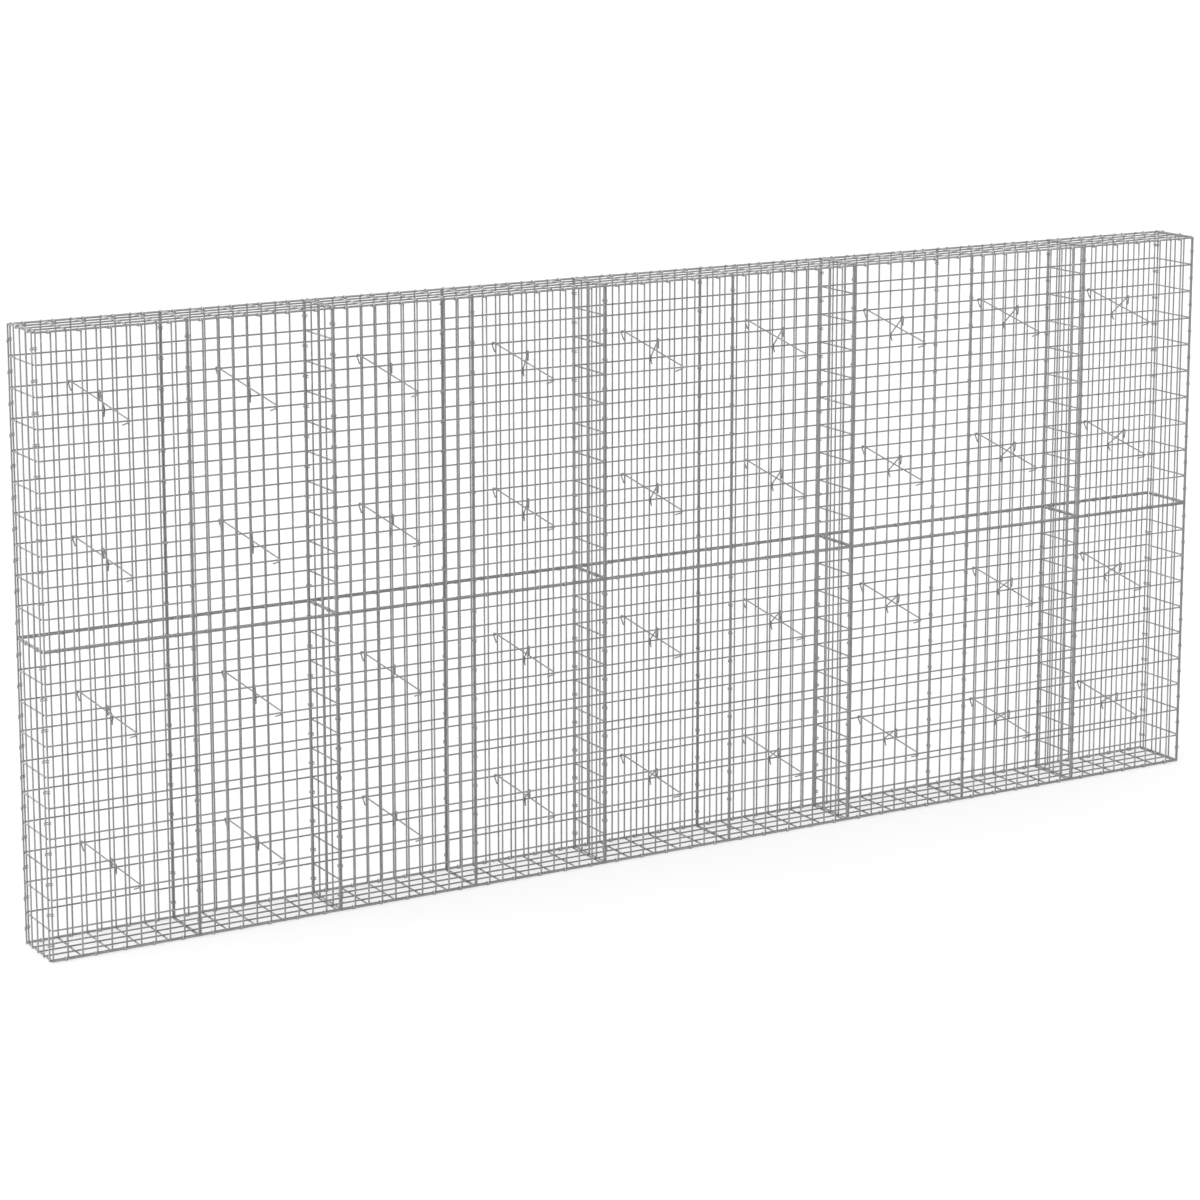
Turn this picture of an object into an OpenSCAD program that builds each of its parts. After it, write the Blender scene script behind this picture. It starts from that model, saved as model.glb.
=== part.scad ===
/* [Mesh] */
// Diameter of the mesh wire
wire_d = 4.5; // [3.5:0.1:6]
// Spacing of the upright wires, and of the wires through the depth of the wall
upright_pitch = 50; // [40:1:70]
// Spacing of the level wires
level_pitch = 100; // [80:1:140]
// Depth that two crossing wires are pressed into each other at a weld
weld_sink = 0.3; // [0.1:0.05:0.8]

/* [Panels] */
// Mesh spaces across a face panel
panel_spaces = 10; // [8:1:14]
// Mesh spaces up a face panel, which is one tier of the wall
tier_spaces = 10; // [9:1:14]
// Mesh spaces through the depth of the wall
depth_spaces = 4; // [3:1:8]
// Gap between neighbouring panels
panel_gap = 0.3; // [0.2:0.05:0.6]

/* [Ties] */
// Diameter of the tie wire
tie_d = 4; // [3:0.1:5]
// Gap between a tie's hook and the wires of the mesh
hook_gap = 0.3; // [0.2:0.05:0.6]
// Length of the straight tail behind a hook
hook_tail = 28; // [15:1:40]
// Angle between a tie and the tails of its hooks
hook_angle = 45; // [35:1:60]
// Upright wire of a panel at which its ties start
tie_upright = 4; // [2:1:5]
// Upright spaces that a tie crosses on its way through the wall
tie_span = 2; // [1:1:3]
// Level spaces that a tie drops on its way through the wall
tie_drop = 1; // [1:1:2]
// Level wire of a tier at which its lower ties start
low_tie_level = 3; // [2:1:4]
// Level wire of a tier at which its upper ties start
high_tie_level = 8; // [6:1:9]

/* [Hidden] */
// Face panels in each bay, from left to right. The last one is a half bay.
bay_panels = [2, 2, 2, 2, 1];
bays = len(bay_panels);
tier_names = ["lower", "upper"];
tiers = len(tier_names);

function bay_node(kind, bay) = str(kind, "_bay_", bay + 1);
function tier_node(kind, tier) = str(kind, "_", tier_names[tier]);

face_colour = "#a9abad";
end_colour = "#9fa2a4";
partition_colour = "#989b9d";
floor_colour = "#b4b6b7";
tie_colour = "#8f9294";

// A wire is a square bar with about the cross-section area of the round wire.
bar_sides = 4;
// Size of the bar from corner to corner, to a tenth of a millimetre
bar_d = round(10 * wire_d * sqrt(PI / 2)) / 10;
// Size of the bar from flat to flat
bar_flat = bar_d * cos(180 / bar_sides);
// Distance between the two layers of wires of a panel
layer = wire_d - weld_sink;
// Distance between the edge wires of two panels that lie side by side
seam = bar_d + panel_gap;

panel_w = panel_spaces * upright_pitch;
panel_h = tier_spaces * level_pitch;
depth_w = depth_spaces * upright_pitch;

function bay_start(bay) = bay == 0 ? 0 : bay_start(bay - 1) + bay_panels[bay - 1];
panels = bay_start(bays);
// Distance between the first and the last upright wire of a face
wall_w = panels * panel_w + (panels - 1) * seam;

// First upright wire of a face panel
function panel_x(panel) = panel * (panel_w + seam) - wall_w / 2;
// Middle of the seam after a bay, where a partition stands
function seam_x(bay) = panel_x(bay_start(bay + 1)) - seam / 2;

// Upright wires of the front and back faces, either side of the middle
face_y = depth_w / 2 + seam;
// Upright wires of the two ends, either side of the middle
end_x = wall_w / 2 + seam + layer;
// Lowest level wires, one layer above the wires that lie on the ground
low_level_z = bar_flat / 2 + layer;
// Lowest level wire of a tier
function tier_z(tier) = low_level_z + tier * (panel_h + seam);
// Wires that lie across the top of the covers
cover_z = tier_z(tiers - 1) + panel_h + layer;

// Distance that a bottom or cover panel stays back from its face panel's edge beside a partition
partition_room = (layer + seam) / 2;
// Mesh spaces along a bottom or cover panel
floor_spaces = round(panel_w / level_pitch);

// Middle line of a hook's bend around a level wire
hook_r = bar_d / 2 + hook_gap + tie_d / 2;
// Turn of a tie in plan, from one face's upright wires to the other's
tie_x = tie_span * upright_pitch;
tie_turn = atan(tie_x / (2 * face_y));
// Half of the tie's run in plan, between the level wires that it hooks on
tie_half_run = (face_y + layer) / cos(tie_turn);
tie_fall = tie_drop * level_pitch;
tie_slope = atan(tie_fall / (2 * tie_half_run));
tie_half = tie_half_run / cos(tie_slope);
// Sideways distance of a tie from the upright wires that it passes
tie_side = hook_r / cos(tie_turn);
// A tie's straight lengths are this much thinner than its bends.
bend_step = tie_d / 40;
straight_d = tie_d - bend_step;
// Length that they reach into the bends
bend_lap = tie_d / 8;
tie_smoothness = 24;

// Bar along X with a corner up and a corner down
module bar_x(length) {
    rotate([0, 90, 0])
        cylinder(d = bar_d, h = length, $fn = bar_sides);
}

// Bar along Y, turned about its own length
module bar_y(length, turn) {
    rotate([-90, 0, 0])
        rotate([0, 0, turn])
            cylinder(d = bar_d, h = length, $fn = bar_sides);
}

// Welded mesh in the XY plane, with its first crossing at the origin.
// Columns run along Y, and rows run along X one layer above them.
module mesh(columns, rows, column_pitch, row_pitch, column_turn = 0) {
    edge = bar_d / 2;
    for (column = [0:columns])
        translate([column * column_pitch, -edge, 0])
            bar_y(rows * row_pitch + 2 * edge, column_turn);
    for (row = [0:rows])
        translate([-edge, row * row_pitch, layer])
            bar_x(columns * column_pitch + 2 * edge);
}

// Front face panels of one bay, with their level wires outside
module face_bay(bay, tier) {
    for (panel = [0:bay_panels[bay] - 1])
        translate([panel_x(bay_start(bay) + panel), -face_y, tier_z(tier)])
            rotate([90, 0, 0])
                mesh(panel_spaces, tier_spaces, upright_pitch, level_pitch);
}

module front_bay(bay, tier) {
    color(face_colour)
        face_bay(bay, tier);
}

module back_bay(bay, tier) {
    color(face_colour)
        mirror([0, 1, 0])
            face_bay(bay, tier);
}

// Panel across the wall, with its level wires on the +X side of its uprights
module cross_panel(x, tier) {
    translate([x, -depth_w / 2, tier_z(tier)])
        rotate([90, 0, 90])
            mesh(depth_spaces, tier_spaces, upright_pitch, level_pitch);
}

module left_end(tier) {
    color(end_colour)
        cross_panel(-end_x, tier);
}

module right_end(tier) {
    color(end_colour)
        mirror([1, 0, 0])
            cross_panel(-end_x, tier);
}

module partition(bay) {
    color(partition_colour)
        for (tier = [0:tiers - 1])
            cross_panel(seam_x(bay) - layer / 2, tier);
}

// Bottom panels of one bay. Their cross wires lie flat on the ground, under the long wires.
module floor_mesh(bay) {
    last = bay_panels[bay] - 1;
    for (panel = [0:last]) {
        left_room = panel == 0 && bay > 0 ? partition_room : 0;
        right_room = panel == last && bay < bays - 1 ? partition_room : 0;
        pitch = (panel_w - left_room - right_room) / floor_spaces;
        translate([panel_x(bay_start(bay) + panel) + left_room, -depth_w / 2, 0])
            mesh(floor_spaces, depth_spaces, pitch, upright_pitch, 180 / bar_sides);
    }
}

module bottom_bay(bay) {
    color(floor_colour)
        translate([0, 0, bar_flat / 2])
            floor_mesh(bay);
}

module cover_bay(bay) {
    color(floor_colour)
        translate([0, 0, cover_z])
            mirror([0, 0, 1])
                floor_mesh(bay);
}

// Bend around a level wire at the origin, with the tie's rod along X above it
module hook() {
    bend = 180 - hook_angle;
    rotate([0, 0, 90 - bend]) {
        rotate_extrude(angle = bend, $fn = 4 * tie_smoothness)
            translate([hook_r, 0])
                circle(d = tie_d, $fn = tie_smoothness);
        translate([hook_r, bend_lap, 0])
            rotate([90, 0, 0])
                cylinder(d = straight_d, h = hook_tail + bend_lap, $fn = tie_smoothness);
    }
}

// Straight rod hooked over two level wires, in the XY plane
module tie() {
    translate([0, hook_r, 0])
        rotate([0, 90, 0])
            cylinder(d = straight_d, h = 2 * (tie_half + bend_lap), center = true, $fn = tie_smoothness);
    for (end = [0, 1])
        mirror([end, 0, 0])
            translate([tie_half, 0, 0])
                hook();
}

// Tie that is high at the back, just left of the upright wires that it passes
module rising_tie() {
    translate([-tie_side, 0, 0])
        rotate([0, 0, 90 + tie_turn])
            rotate([90, 0, 0])
                rotate([0, 0, tie_slope])
                    tie();
}

// Two ties that cross, one high at the back and one high at the front
module tie_pair() {
    rising_tie();
    mirror([0, 1, 0])
        translate([2 * tie_side, 0, 0])
            rising_tie();
}

module ties_bay(bay) {
    color(tie_colour)
        for (panel = [0:bay_panels[bay] - 1], tier = [0:tiers - 1], level = [low_tie_level, high_tie_level])
            translate([
                panel_x(bay_start(bay) + panel) + tie_upright * upright_pitch + tie_x / 2,
                0,
                tier_z(tier) + level * level_pitch - tie_fall / 2
            ])
                tie_pair();
}

for (bay = [0:bays - 1], tier = [0:tiers - 1]) {
    front_bay(bay, tier);
    back_bay(bay, tier);
}
for (tier = [0:tiers - 1]) {
    left_end(tier);
    right_end(tier);
}
for (bay = [0:bays - 2]) {
    partition(bay);
}
for (bay = [0:bays - 1]) {
    bottom_bay(bay);
    cover_bay(bay);
    ties_bay(bay);
}
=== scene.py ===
import itertools
import math
import bpy
from mathutils import Matrix, Vector


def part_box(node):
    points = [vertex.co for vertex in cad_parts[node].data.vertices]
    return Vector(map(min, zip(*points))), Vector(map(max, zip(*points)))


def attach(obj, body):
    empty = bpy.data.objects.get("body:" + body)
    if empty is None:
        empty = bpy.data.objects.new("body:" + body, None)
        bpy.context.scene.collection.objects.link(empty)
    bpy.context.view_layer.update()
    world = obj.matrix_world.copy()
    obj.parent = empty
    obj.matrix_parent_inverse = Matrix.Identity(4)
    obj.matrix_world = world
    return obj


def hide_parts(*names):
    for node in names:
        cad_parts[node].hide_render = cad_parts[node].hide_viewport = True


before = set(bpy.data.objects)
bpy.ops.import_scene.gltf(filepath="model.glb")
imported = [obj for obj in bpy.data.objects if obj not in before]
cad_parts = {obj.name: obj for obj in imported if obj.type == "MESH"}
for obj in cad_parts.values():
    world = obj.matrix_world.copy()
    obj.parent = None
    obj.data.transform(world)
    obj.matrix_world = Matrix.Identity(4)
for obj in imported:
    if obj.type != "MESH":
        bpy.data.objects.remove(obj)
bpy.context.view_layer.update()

boxes = {name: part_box(name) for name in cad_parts}
bays = [1, 2, 3, 4, 5]     # the last is a half bay
tiers = ["lower", "upper"]
print("frame loaded,", len(boxes), "nodes")


class Flow:
    # wraps one socket, so that a sum or a product of values adds its Math node to the tree
    def __init__(self, socket):
        self.socket = socket

    def node(self, kind, settings=None, inputs=None, output=0):
        tree = self.socket.id_data
        made = tree.nodes.new(kind)
        for name, value in (settings or {}).items():
            setattr(made, name, value)
        for key, value in (inputs or {}).items():
            for one in value if isinstance(value, list) else [value]:
                if isinstance(one, Flow):
                    tree.links.new(one.socket, made.inputs[key])
                else:
                    made.inputs[key].default_value = one
        return Flow(made.outputs[output])

    def math(self, operation, first, second):
        return self.node("ShaderNodeMath", {"operation": operation}, {0: first, 1: second})

    def vector(self, operation, other, output=0):
        return self.node("ShaderNodeVectorMath", {"operation": operation}, {0: self, 1: other}, output)

    def __add__(self, other):
        return self.math("ADD", self, other)

    def __radd__(self, other):
        return self.math("ADD", other, self)

    def __sub__(self, other):
        return self.math("SUBTRACT", self, other)

    def __rsub__(self, other):
        return self.math("SUBTRACT", other, self)

    def __mul__(self, other):
        return self.math("MULTIPLY", self, other)

    def __rmul__(self, other):
        return self.math("MULTIPLY", other, self)

    def atMost(self, other):
        return self.math("MINIMUM", self, other)

    def atLeast(self, other):
        return self.math("MAXIMUM", self, other)


# Finishes

zinc = {
    "dark": (0.186, 0.192, 0.189),    # dull grey of the zinc coat in its hollows
    "light": (0.395, 0.404, 0.4),     # bright crystals of the coat
    "metallic": 0.3,
    "roughness": 0.5,
    "roughnessSpread": 0.22,
    "weldRoughness": 0.12,            # added at a weld
    "streakScale": 1100,              # drawing marks along a wire
    "streakDetail": 3.0,
    "streakBreakup": 0.6,
    "streakStretch": 0.97,            # 1 would draw them out without end
    "spangleScale": 330,              # zinc crystals, about 3 mm
    "patchScale": 9,                  # slow change of tone along the mesh
    "patchDetail": 4.0,
    "patchBreakup": 0.55,
    "bumpStrength": 0.35,
    "bumpHeight": 0.00025,
}
# how much each pattern counts in the tone, the gloss and the bumps
toneShare = {"spangle": 0.36, "streak": 0.24, "patch": 0.3, "wire": 0.25, "weld": 0.22}
toneRange = (0.15, 0.85)              # levels of the dark colour and of the light one
glossShare = {"patch": 0.6, "streak": 0.4, "middle": 0.5}
bumpShare = {"streak": 0.55, "spangle": 0.45}


def zincFinish(name, brightness):
    # galvanised wire: crystals, drawing marks along the wire, slow patches and duller welds
    material = bpy.data.materials.new(name)
    material.use_nodes = True
    tree = material.node_tree
    shader = tree.nodes["Principled BSDF"]
    place = Flow(tree.nodes.new("ShaderNodeTexCoord").outputs["Object"])
    grain = place.node("ShaderNodeAttribute", {"attribute_name": "grain"}, output="Vector")
    tone = place.node("ShaderNodeAttribute", {"attribute_name": "tone"}, output="Fac")
    weld = place.node("ShaderNodeAttribute", {"attribute_name": "weld"}, output="Fac")

    along = place.vector("DOT_PRODUCT", grain, "Value") * zinc["streakStretch"]
    shift = grain.node("ShaderNodeVectorMath", {"operation": "SCALE"}, {0: grain, "Scale": along})
    squeezed = place.vector("SUBTRACT", shift)
    streak = squeezed.node("ShaderNodeTexNoise", inputs={
        "Vector": squeezed, "Scale": zinc["streakScale"],
        "Detail": zinc["streakDetail"], "Roughness": zinc["streakBreakup"]})
    crystal = place.node("ShaderNodeTexVoronoi", inputs={
        "Vector": place, "Scale": zinc["spangleScale"], "Randomness": 1.0}, output="Color")
    spangle = crystal.node("ShaderNodeSeparateColor", inputs={0: crystal})
    patch = place.node("ShaderNodeTexNoise", inputs={
        "Vector": place, "Scale": zinc["patchScale"],
        "Detail": zinc["patchDetail"], "Roughness": zinc["patchBreakup"]})

    coat = toneShare["spangle"] * spangle + toneShare["streak"] * streak + toneShare["patch"] * patch
    level = coat + toneShare["wire"] * tone - toneShare["weld"] * weld
    shade = level.node("ShaderNodeMapRange", inputs={0: level, 1: toneRange[0], 2: toneRange[1]})
    dull, bright = [(*[brightness * part for part in zinc[end]], 1) for end in ("dark", "light")]
    colour = shade.node("ShaderNodeMix", {"data_type": "RGBA"}, {0: shade, 6: dull, 7: bright}, output=2)
    uneven = glossShare["patch"] * patch + glossShare["streak"] * streak - glossShare["middle"]
    rough = zinc["roughness"] + uneven * zinc["roughnessSpread"] + zinc["weldRoughness"] * weld
    height = bumpShare["streak"] * streak + bumpShare["spangle"] * spangle
    bump = height.node("ShaderNodeBump", inputs={
        "Strength": zinc["bumpStrength"], "Distance": zinc["bumpHeight"], "Height": height})
    tree.links.new(colour.socket, shader.inputs["Base Color"])
    tree.links.new(rough.socket, shader.inputs["Roughness"])
    tree.links.new(bump.socket, shader.inputs["Normal"])
    shader.inputs["Metallic"].default_value = zinc["metallic"]
    return material


# the second value is the brightness
meshFinish = zincFinish("galvanisedMesh", 1.0)
tieFinish = zincFinish("galvanisedTie", 1.0)
ringFinish = zincFinish("galvanisedRing", 1.1)
ringPaintedLightFinish = zincFinish("ringWithPaintedLight", 1.6)    # painted light: the same zinc made 1.6 times lighter on the rings on level wires, to offset the shade that falls on them
print("finishes made")


# Trees of nodes

creases = {"wire": 0.7, "bead": 3}    # edges that turn by more radians than this stay sharp


def newTree(name, sockets):
    tree = bpy.data.node_groups.new(name, "GeometryNodeTree")
    tree.interface.new_socket("Geometry", in_out="OUTPUT", socket_type="NodeSocketGeometry")
    for label, kind in sockets.items():
        tree.interface.new_socket(label, in_out="INPUT", socket_type="NodeSocket" + kind)
    source = tree.nodes.new("NodeGroupInput")
    return tree, {label: Flow(source.outputs[label]) for label in sockets}


def endTree(tree, shape, material):
    whole = shape.node("GeometryNodeRealizeInstances", inputs={"Geometry": shape})
    painted = whole.node("GeometryNodeSetMaterial", inputs={"Geometry": whole, "Material": material})
    tree.links.new(painted.socket, tree.nodes.new("NodeGroupOutput").inputs[0])
    return tree


def smoothSides(shape, crease):
    # round sides are smooth, and edges sharper than the crease angle stay sharp
    soft = shape.node("GeometryNodeSetShadeSmooth", {"domain": "FACE"}, {
        "Geometry": shape, "Shade Smooth": True})
    angle = soft.node("GeometryNodeInputMeshEdgeAngle")
    sharp = angle.node("FunctionNodeCompare", {"operation": "GREATER_THAN"}, {0: angle, 1: crease})
    return soft.node("GeometryNodeSetShadeSmooth", {"domain": "EDGE"}, {
        "Geometry": soft, "Selection": sharp, "Shade Smooth": False})


def sweep(curve, radius, sides):
    profile = curve.node("GeometryNodeCurvePrimitiveCircle", inputs={
        "Resolution": sides, "Radius": radius})
    tube = curve.node("GeometryNodeCurveToMesh", inputs={
        "Curve": curve, "Profile Curve": profile, "Fill Caps": True})
    return smoothSides(tube, creases["wire"])


def straightWire(length, radius, sides, tip, tipFullness):
    # four points along X, so that both cut ends are drawn in a little
    line = length.node("GeometryNodeMeshLine", inputs={"Count": 4})
    step = length.node("GeometryNodeInputIndex")
    nearStart = step.atMost(1)
    nearEnd = (step - 2).atLeast(0)
    middle = (step - 1).atLeast(0).atMost(1)
    reach = (nearStart + nearEnd) * tip + middle * (length - 2 * tip)
    spot = reach.node("ShaderNodeCombineXYZ", inputs={0: reach})
    laid = line.node("GeometryNodeSetPosition", inputs={"Geometry": line, "Position": spot})
    curve = laid.node("GeometryNodeMeshToCurve", inputs={"Mesh": laid})
    fullness = tipFullness + (1 - tipFullness) * (nearStart - nearEnd)
    shaped = curve.node("GeometryNodeSetCurveRadius", inputs={"Curve": curve, "Radius": fullness})
    return sweep(shaped, radius, sides)


def mark(shape, name, kind, value):
    return shape.node("GeometryNodeStoreNamedAttribute", {"data_type": kind, "domain": "INSTANCE"}, {
        "Geometry": shape, "Name": name, "Value": value})


def instances(points, shape, **more):
    return points.node("GeometryNodeInstanceOnPoints", inputs={
        "Points": points, "Instance": shape, **more})


def runTree(name, tree, spots, values, edges=(), stretch=None):
    # evaluates a tree on a few points and keeps the result as a plain mesh
    seedMesh = bpy.data.meshes.new(name + "Points")
    seedMesh.from_pydata([tuple(spot) for spot in spots], list(edges), [])
    if stretch:
        seedMesh.attributes.new("stretch", "FLOAT", "POINT").data.foreach_set("value", stretch)
    holder = bpy.data.objects.new(name + "Points", seedMesh)
    bpy.context.scene.collection.objects.link(holder)
    modifier = holder.modifiers.new("tree", "NODES")
    modifier.node_group = tree
    items = tree.interface.items_tree
    sockets = {item.name: item.identifier for item in items if item.in_out == "INPUT"}
    for label, value in values.items():
        modifier[sockets[label]] = value
    depsgraph = bpy.context.evaluated_depsgraph_get()
    shape = bpy.data.meshes.new_from_object(holder.evaluated_get(depsgraph), depsgraph=depsgraph)
    holder.modifiers.remove(modifier)
    bpy.data.objects.remove(holder)
    shape.name = name
    piece = bpy.data.objects.new(name, shape)
    bpy.context.scene.collection.objects.link(piece)
    return piece


def settle(piece, slotName, *nodes):
    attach(piece, "root")
    if nodes:
        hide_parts(*nodes)


# Welded mesh panels

mesh = {
    "wireD": 0.0056,
    "barD": 0.0056,        # the solids' bars, corner to corner
    "layer": 0.0042,       # between the two layers of a panel
    "pitch": 0.05,         # uprights
    "rowPitch": 0.1,       # level wires
    "spaces": 10,          # each way in a face panel
    "depthSpaces": 4,
    "floorSpaces": 5,
    "sides": 12,
    "tip": 0.0005,         # length over which a cut end is drawn in
    "tipFullness": 0.74,   # how much of its radius is left
    "toneSpread": 0.5,     # between one wire and another
    "weldRadius": 0.0029,
    "weldFlat": 0.62,
    "weldSegments": 8,
    "weldRings": 5,
    "seed": 9,
}
edge = mesh["barD"] / 2
wireR = mesh["wireD"] / 2
panelW = mesh["spaces"] * mesh["pitch"]
panelH = mesh["spaces"] * mesh["rowPitch"]
seeds = itertools.count(mesh["seed"], 2)     # a panel takes two, one for each way of its wires


def weldedMeshTree():
    tree, size = newTree("weldedMesh", {
        "Geometry": "Geometry", "Columns": "Int", "Rows": "Int",
        "Column Pitch": "Float", "Row Pitch": "Float", "Overhang": "Float",
        "Layer": "Float", "Wire Radius": "Float", "Turn": "Vector",
        "Column Grain": "Vector", "Row Grain": "Vector", "Seed": "Int", "Material": "Material"})
    columns, rows, layer = size["Columns"], size["Rows"], size["Layer"]
    width, height = columns * size["Column Pitch"], rows * size["Row Pitch"]
    back = 0 - size["Overhang"]
    spread = mesh["toneSpread"]
    parts = []
    runs = [
        (columns, height, "Column Pitch", 0, "Column Grain", (0, 0, math.pi / 2)),
        (rows, width, "Row Pitch", 1, "Row Grain", (0, 0, 0)),
    ]
    for count, length, pitch, way, grain, turn in runs:
        whole = length + 2 * size["Overhang"]
        wire = straightWire(whole, size["Wire Radius"], mesh["sides"], mesh["tip"], mesh["tipFullness"])
        start = wire.node("ShaderNodeCombineXYZ", inputs={1 - way: back, 2: layer * way})
        offset = wire.node("ShaderNodeCombineXYZ", inputs={way: size[pitch]})
        line = wire.node("GeometryNodeMeshLine", inputs={
            "Count": count + 1, "Start Location": start, "Offset": offset})
        laid = instances(line, wire, Rotation=turn)
        tone = laid.node("FunctionNodeRandomValue", {"data_type": "FLOAT"}, {
            2: -spread, 3: spread, 8: size["Seed"] + way}, output=1)
        parts.append(mark(mark(laid, "grain", "FLOAT_VECTOR", size[grain]), "tone", "FLOAT", tone))
    grid = width.node("GeometryNodeMeshGrid", inputs={
        "Size X": width, "Size Y": height, "Vertices X": columns + 1, "Vertices Y": rows + 1})
    middle = width.node("ShaderNodeCombineXYZ", inputs={0: width * 0.5, 1: height * 0.5, 2: layer * 0.5})
    moved = grid.node("GeometryNodeTransform", inputs={"Geometry": grid, "Translation": middle})
    bead = moved.node("GeometryNodeMeshUVSphere", inputs={
        "Segments": mesh["weldSegments"], "Rings": mesh["weldRings"], "Radius": mesh["weldRadius"]})
    welds = instances(moved, smoothSides(bead, creases["bead"]), Scale=(1, 1, mesh["weldFlat"]))
    parts.append(mark(welds, "weld", "FLOAT", 1.0))
    panel = width.node("GeometryNodeJoinGeometry", inputs={0: parts})
    stretch = panel.node("GeometryNodeInputNamedAttribute", {"data_type": "FLOAT"}, {"Name": "stretch"})
    scale = stretch.node("ShaderNodeCombineXYZ", inputs={0: stretch, 1: 1.0, 2: 1.0})
    placed = instances(size["Geometry"], panel, Rotation=size["Turn"], Scale=scale)
    return endTree(tree, placed, size["Material"])


meshTree = weldedMeshTree()
axisX, axisY, axisZ = (1.0, 0.0, 0.0), (0.0, 1.0, 0.0), (0.0, 0.0, 1.0)


def panelPiece(node, spots, turn, spaces, pitches, grains, stretch=None):
    piece = runTree(node + "_wires", meshTree, spots, {
        "Columns": spaces[0], "Rows": spaces[1], "Column Pitch": pitches[0], "Row Pitch": pitches[1],
        "Overhang": edge, "Layer": mesh["layer"], "Wire Radius": wireR,
        "Turn": [math.radians(angle) for angle in turn],
        "Column Grain": grains[0], "Row Grain": grains[1], "Seed": next(seeds), "Material": meshFinish,
    }, stretch=stretch or [1.0] * len(spots))
    settle(piece, "mesh_wire", node)


def panelStarts(bay):
    # first upright of each face panel of a bay
    low, high = boxes["front_lower_bay_%d" % bay]
    first, last = low.x + edge, high.x - edge - panelW
    isWhole = last - first > panelW / 2     # a half bay has one panel, a whole bay two
    return [first, last] if isWhole else [first]


# spaces, pitches and wire directions of the panels along the wall, and of those across it
upright = ((mesh["spaces"], mesh["spaces"]), (mesh["pitch"], mesh["rowPitch"]), (axisZ, axisX))
across = ((mesh["depthSpaces"], mesh["spaces"]), (mesh["pitch"], mesh["rowPitch"]), (axisZ, axisY))
for bay in bays:
    for tier in tiers:
        front, rear = ["%s_%s_bay_%d" % (face, tier, bay) for face in ("front", "back")]
        low, high = boxes[front]
        spots = [(x, high.y - edge, low.z + edge) for x in panelStarts(bay)]
        panelPiece(front, spots, (90, 0, 0), *upright)
        low, high = boxes[rear]
        spots = [(x + panelW, low.y + edge, low.z + edge) for x in panelStarts(bay)]
        panelPiece(rear, spots, (90, 0, 180), *upright)
print("front and back faces made")

for tier in tiers:
    low, high = boxes["left_end_" + tier]
    panelPiece("left_end_" + tier, [(low.x + edge, low.y + edge, low.z + edge)], (90, 0, 90), *across)
    low, high = boxes["right_end_" + tier]
    panelPiece("right_end_" + tier, [(high.x - edge, high.y - edge, low.z + edge)], (90, 0, -90), *across)
for bay in bays[:-1]:
    node = "partition_%d" % bay
    low, high = boxes[node]
    levels = [low.z + edge, high.z - edge - panelH]
    panelPiece(node, [(low.x + edge, low.y + edge, z) for z in levels], (90, 0, 90), *across)
print("ends and partitions made")

floorSpaces = (mesh["floorSpaces"], mesh["depthSpaces"])
floorPitches = (panelW / mesh["floorSpaces"], mesh["pitch"])
for bay in bays:
    for kind in ("bottom", "cover"):
        node = "%s_bay_%d" % (kind, bay)
        low, high = boxes[node]
        spots, stretch = [], []
        for x in panelStarts(bay):
            first, last = max(x, low.x + edge), min(x + panelW, high.x - edge)
            stretch.append((last - first) / panelW)
            if kind == "bottom":
                spots.append((first, low.y + edge, low.z + wireR))
            else:
                spots.append((first, high.y - edge, low.z + edge + mesh["layer"]))
        turn = (0, 0, 0) if kind == "bottom" else (180, 0, 0)
        panelPiece(node, spots, turn, floorSpaces, floorPitches, (axisY, axisX), stretch)
print("bottom and cover panels made")


# Hooked ties

tie = {
    "wireD": 0.005,
    "bendR": 0.0053,       # middle line of a hook around its level wire
    "tail": 0.028,
    "hookAngle": 45,
    "bendSteps": 9,
    "sides": 10,
    "startUpright": 4,
    "span": 2,             # upright spaces from back to front
    "drop": 1,             # level spaces from back to front
    "startLevels": (3, 8),
}


def pathTree():
    tree, size = newTree("bentWire", {
        "Geometry": "Geometry", "Wire Radius": "Float", "Sides": "Int", "Material": "Material"})
    curve = size["Geometry"].node("GeometryNodeMeshToCurve", inputs={"Mesh": size["Geometry"]})
    return endTree(tree, sweep(curve, size["Wire Radius"], size["Sides"]), size["Material"])


def tiePath(half):
    # one hook and half of the rod in the XY plane, then the same mirrored
    bend = math.radians(180 - tie["hookAngle"])
    side = []
    for step in range(tie["bendSteps"] + 1):
        angle = math.pi / 2 - bend * step / tie["bendSteps"]
        side.append(Vector((half + tie["bendR"] * math.cos(angle), tie["bendR"] * math.sin(angle), 0)))
    tailWay = Vector((math.sin(math.pi / 2 - bend), -math.cos(math.pi / 2 - bend), 0))
    side.append(side[-1] + tailWay * tie["tail"])
    return [Vector((-spot.x, spot.y, 0)) for spot in reversed(side)] + side


bentWire = pathTree()
faceY = boxes["back_lower_bay_1"][0].y + edge
tieRun = tie["span"] * mesh["pitch"]
tieFall = tie["drop"] * mesh["rowPitch"]
tieTurn = math.atan(tieRun / (2 * faceY))
halfRun = (faceY + mesh["layer"]) / math.cos(tieTurn)
tieSlope = math.atan(tieFall / (2 * halfRun))
tieSide = tie["bendR"] / math.cos(tieTurn)
oneTie = tiePath(halfRun / math.cos(tieSlope))
turnInWall = (
    Matrix.Rotation(math.pi / 2 + tieTurn, 4, "Z")
    @ Matrix.Rotation(math.pi / 2, 4, "X")
    @ Matrix.Rotation(tieSlope, 4, "Z")
)
rising = [turnInWall @ spot - Vector((tieSide, 0, 0)) for spot in oneTie]
falling = [Vector((spot.x + 2 * tieSide, -spot.y, spot.z)) for spot in rising]

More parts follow.
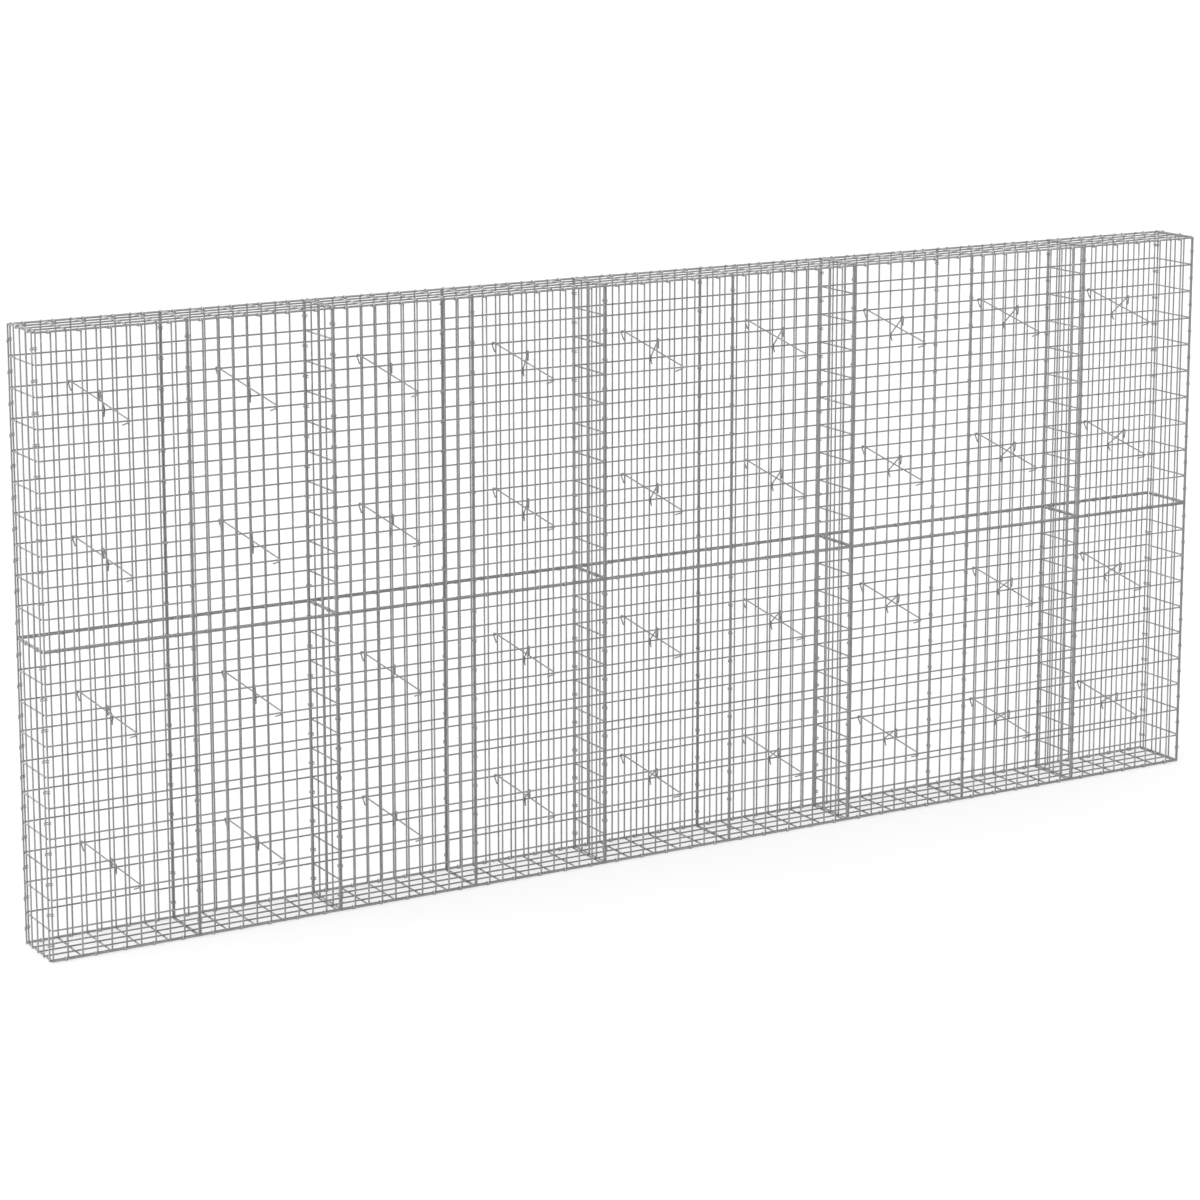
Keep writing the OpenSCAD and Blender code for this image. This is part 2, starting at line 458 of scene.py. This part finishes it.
for bay in bays:
    spots, edges = [], []
    for x in panelStarts(bay):
        for tier in tiers:
            floorLevel = boxes["front_%s_bay_%d" % (tier, bay)][0].z + edge
            for level in tie["startLevels"]:
                centre = Vector((
                    x + tie["startUpright"] * mesh["pitch"] + tieRun / 2,
                    0,
                    floorLevel + level * mesh["rowPitch"] - tieFall / 2,
                ))
                for path in (rising, falling):
                    first = len(spots)
                    spots += [centre + spot for spot in path]
                    edges += [(at, at + 1) for at in range(first, len(spots) - 1)]
    node = "ties_bay_%d" % bay
    piece = runTree(node + "_rods", bentWire, spots, {
        "Wire Radius": tie["wireD"] / 2, "Sides": tie["sides"], "Material": tieFinish}, edges)
    settle(piece, "tie_wire", node)
print("ties made")


# Rings that clip the panels' edge wires together

ring = {
    "wireD": 0.0036,
    "tierWireD": 0.0024,   # finer rings at the joint between the tiers
    "turns": 1.55,         # the two ends lie beside each other
    "rise": 0.0095,        # along the wires, from one end to the other
    "steps": 20,
    "sides": 6,
    "play": 0.0003,        # between a ring and its outer wires
    "slack": 1.14,         # short way of a ring, over the tightest that fits
    "spacing": 0.1,
    "firstUp": 0.05,       # above a panel's lowest level wire
    "afterSeam": 0.042,    # along a panel's long edge
    "fromBack": 0.036,     # along an edge through the wall
    "acrossCount": 2,
}
ringR = ring["wireD"] / 2
tierRingR = ring["tierWireD"] / 2


def ringTree():
    tree, size = newTree("clipRing", {
        "Geometry": "Geometry", "Long Radius": "Float", "Short Radius": "Float",
        "Rise": "Float", "Turns": "Float", "Steps": "Int", "Wire Radius": "Float", "Sides": "Int",
        "Turn": "Vector", "Material": "Material"})
    spiral = size["Rise"].node("GeometryNodeCurveSpiral", inputs={
        "Resolution": size["Steps"], "Rotations": size["Turns"], "Start Radius": 1.0, "End Radius": 1.0,
        "Height": size["Rise"]})
    oval = spiral.node("ShaderNodeCombineXYZ", inputs={
        0: size["Long Radius"], 1: size["Short Radius"], 2: 1.0})
    drop = spiral.node("ShaderNodeCombineXYZ", inputs={2: size["Rise"] * -0.5})
    loop = spiral.node("GeometryNodeTransform", inputs={
        "Geometry": spiral, "Scale": oval, "Translation": drop})
    wire = sweep(loop, size["Wire Radius"], size["Sides"])
    placed = instances(size["Geometry"], wire, Rotation=size["Turn"])
    return endTree(tree, placed, size["Material"])


clipRing = ringTree()


def ringPiece(name, spots, longWay, axis, longR, shortR, thickR=ringR):
    # rings around the wires that run along the axis, with their long way from wire to wire
    # rings on level wires take the zinc with painted light, lightened against the shade on them
    finish = ringFinish if axis == axisZ else ringPaintedLightFinish
    longWay, axis = Vector(longWay).normalized(), Vector(axis)
    turn = Matrix((longWay, axis.cross(longWay), axis)).transposed().to_euler()
    piece = runTree(name, clipRing, spots, {
        "Long Radius": longR, "Short Radius": shortR, "Rise": ring["rise"], "Turns": ring["turns"],
        "Steps": ring["steps"], "Wire Radius": thickR, "Sides": ring["sides"], "Turn": list(turn),
        "Material": finish})
    settle(piece, "tie_wire")


def longRadius(apart, thickR=ringR):
    return apart / 2 + wireR + thickR + ring["play"]


def shortRadius(thickR=ringR):
    return (wireR + thickR) * ring["slack"]


snug = shortRadius()
lowest = {tier: boxes["front_%s_bay_1" % tier][0].z + edge for tier in tiers}
highest = boxes["front_upper_bay_1"][1].z - edge
ringLevels = [
    lowest[tier] + ring["firstUp"] + ring["spacing"] * step
    for tier in tiers for step in range(mesh["spaces"])
]
edgeLevels = [max(lowest["lower"], snug + ringR), highest]
starts = [x for bay in bays for x in panelStarts(bay)]
seam = starts[1] - starts[0] - panelW
plainSeams = [panelStarts(bay)[1] - seam / 2 for bay in bays[:-1]]
sharedSeams = [panelStarts(bay)[0] - seam / 2 for bay in bays[1:]]
crossY = boxes["partition_1"][1].y - edge
levelY = faceY + mesh["layer"]
endX = boxes["right_end_lower"][1].x - edge
lastX = starts[-1] + panelW
endLevelX = endX - mesh["layer"]
middleZ = lowest["upper"] - seam / 2
tierFit = (longRadius(seam, tierRingR), shortRadius(tierRingR), tierRingR)
acrossRings = [crossY - ring["fromBack"] - ring["spacing"] * step for step in range(ring["acrossCount"])]
alongRings = [
    x + ring["afterSeam"] + ring["spacing"] * step
    for x in starts for step in range(mesh["floorSpaces"])
]

for face, side in (("front", -1), ("back", 1)):
    ringPiece(face + "_seam_rings", [(x, side * faceY, z) for x in plainSeams for z in ringLevels],
              axisX, axisZ, longRadius(seam), snug)
    ringPiece(face + "_partition_rings",
              [(x, side * (faceY + crossY) / 2, z) for x in sharedSeams for z in ringLevels],
              axisX, axisZ, longRadius(seam) + ringR / 2, snug + (faceY - crossY) / 2)
    for end, way in (("left", -1), ("right", 1)):
        gap = Vector((way * (endX - lastX), side * (crossY - faceY), 0))
        spots = [(way * (endX + lastX) / 2, side * (faceY + crossY) / 2, z) for z in ringLevels]
        ringPiece("%s_%s_corner_rings" % (face, end), spots, gap, axisZ, longRadius(gap.length), snug)
    edgeSpots = [(x, side * (levelY + crossY) / 2, z) for x in alongRings for z in edgeLevels]
    ringPiece(face + "_edge_rings", edgeSpots, axisY, axisX, longRadius(levelY - crossY), snug)
    ringPiece(face + "_tier_rings", [(x, side * levelY, middleZ) for x in alongRings],
              axisZ, axisX, *tierFit)

for end, way in (("left", -1), ("right", 1)):
    toCover = Vector((way * (lastX - endLevelX), 0, mesh["layer"]))
    spots = [(way * (lastX + endLevelX) / 2, way * y, highest + mesh["layer"] / 2) for y in acrossRings]
    ringPiece(end + "_top_rings", spots, toCover, axisY, longRadius(toCover.length), snug)
    ringPiece(end + "_tier_rings", [(way * endLevelX, way * y, middleZ) for y in acrossRings],
              axisZ, axisY, *tierFit)
spots = [(x + mesh["layer"] / 2, y, middleZ) for x in sharedSeams for y in acrossRings]
ringPiece("partition_tier_rings", spots, axisZ, axisY, *tierFit)
print("rings made")


# Floor, light and camera

stage = {
    "floorSize": 300,
    "grey": 0.7,           # for the light that the floor throws back on the wires
    "seenGrey": 0.3,       # the part of what is seen of the floor that takes the shadow
    "glow": 0.66,          # the rest of it, only seen
    "roughness": 0.9,
}
camera = {
    "place": (-6.0215, -9.9021, 3.6165),
    "heading": 30.402,     # degrees from +Y towards +X
    "tilt": 10.271,        # degrees down
    "lens": 102.89,
    "sensor": 36,
    "shiftY": -0.15,
    "reach": 500,
}
suns = {
    "key": {"strength": 2.5, "spread": 90, "from": (-0.75, -0.4, 0.5)},
    "rim": {"strength": 2.5, "spread": 60, "from": (-0.85, 0.5, 0.2)},    # for the wires through the wall
    "fill": {"strength": 1.2, "spread": 90, "from": (0.7, 0.6, 0.4)},     # for the sides in the shade
}
sky = {"horizon": 0.34, "top": 0.46}


def seenRays(tree):
    # 1 for what the camera sees, straight or by reflection, and 0 for the light that falls on the wires
    path = tree.nodes.new("ShaderNodeLightPath")
    kinds = ("Camera", "Glossy", "Transmission")
    straight, mirrored, through = [Flow(path.outputs["Is %s Ray" % kind]) for kind in kinds]
    return (straight + mirrored + through).atMost(1)


def makeFloor():
    half = stage["floorSize"] / 2
    corners = [(-half, -half, 0), (half, -half, 0), (half, half, 0), (-half, half, 0)]
    plane = bpy.data.meshes.new("floor")
    plane.from_pydata(corners, [], [(0, 1, 2, 3)])
    floor = bpy.data.objects.new("floor", plane)
    bpy.context.scene.collection.objects.link(floor)
    paint = bpy.data.materials.new("paleFloor")
    paint.use_nodes = True
    tree = paint.node_tree
    shader = tree.nodes["Principled BSDF"]
    seen = seenRays(tree)
    glow = stage["glow"] * seen
    grey = stage["grey"] + (stage["seenGrey"] - stage["grey"]) * seen
    tree.links.new(glow.socket, shader.inputs["Emission Color"])
    tree.links.new(grey.socket, shader.inputs["Base Color"])
    shader.inputs["Emission Strength"].default_value = 1
    shader.inputs["Roughness"].default_value = stage["roughness"]
    floor.data.materials.append(paint)


def makeSky():
    # white to the camera and to reflections, softer light from all round on the object
    world = bpy.data.worlds.new("studio")
    bpy.context.scene.world = world
    world.use_nodes = True
    tree = world.node_tree
    surface = tree.nodes["Background"]
    seen = seenRays(tree)
    way = seen.node("ShaderNodeTexCoord", output="Generated")
    up = way.node("ShaderNodeSeparateXYZ", inputs={0: way}, output=2)
    light = sky["horizon"] + (sky["top"] - sky["horizon"]) * up.atLeast(0)
    strength = light + (1 - light) * seen
    tree.links.new(strength.socket, surface.inputs["Strength"])
    surface.inputs["Color"].default_value = (1, 1, 1, 1)


def makeSun(name, sun):
    lamp = bpy.data.lights.new(name, "SUN")
    lamp.energy = sun["strength"]
    lamp.angle = math.radians(sun["spread"])
    holder = bpy.data.objects.new(name, lamp)
    holder.rotation_euler = Vector(sun["from"]).to_track_quat("Z", "Y").to_euler()
    bpy.context.scene.collection.objects.link(holder)


def makeCamera():
    lens = bpy.data.cameras.new("camera")
    lens.lens = camera["lens"]
    lens.sensor_width = camera["sensor"]
    lens.shift_y = camera["shiftY"]
    lens.clip_end = camera["reach"]
    holder = bpy.data.objects.new("camera", lens)
    holder.location = camera["place"]
    holder.rotation_euler = (math.radians(90 - camera["tilt"]), 0, -math.radians(camera["heading"]))
    bpy.context.scene.collection.objects.link(holder)
    bpy.context.scene.camera = holder


makeFloor()
makeSky()
for name, sun in suns.items():
    makeSun(name, sun)
makeCamera()
bpy.context.scene.view_settings.view_transform = "Standard"
print("floor, light and camera made")
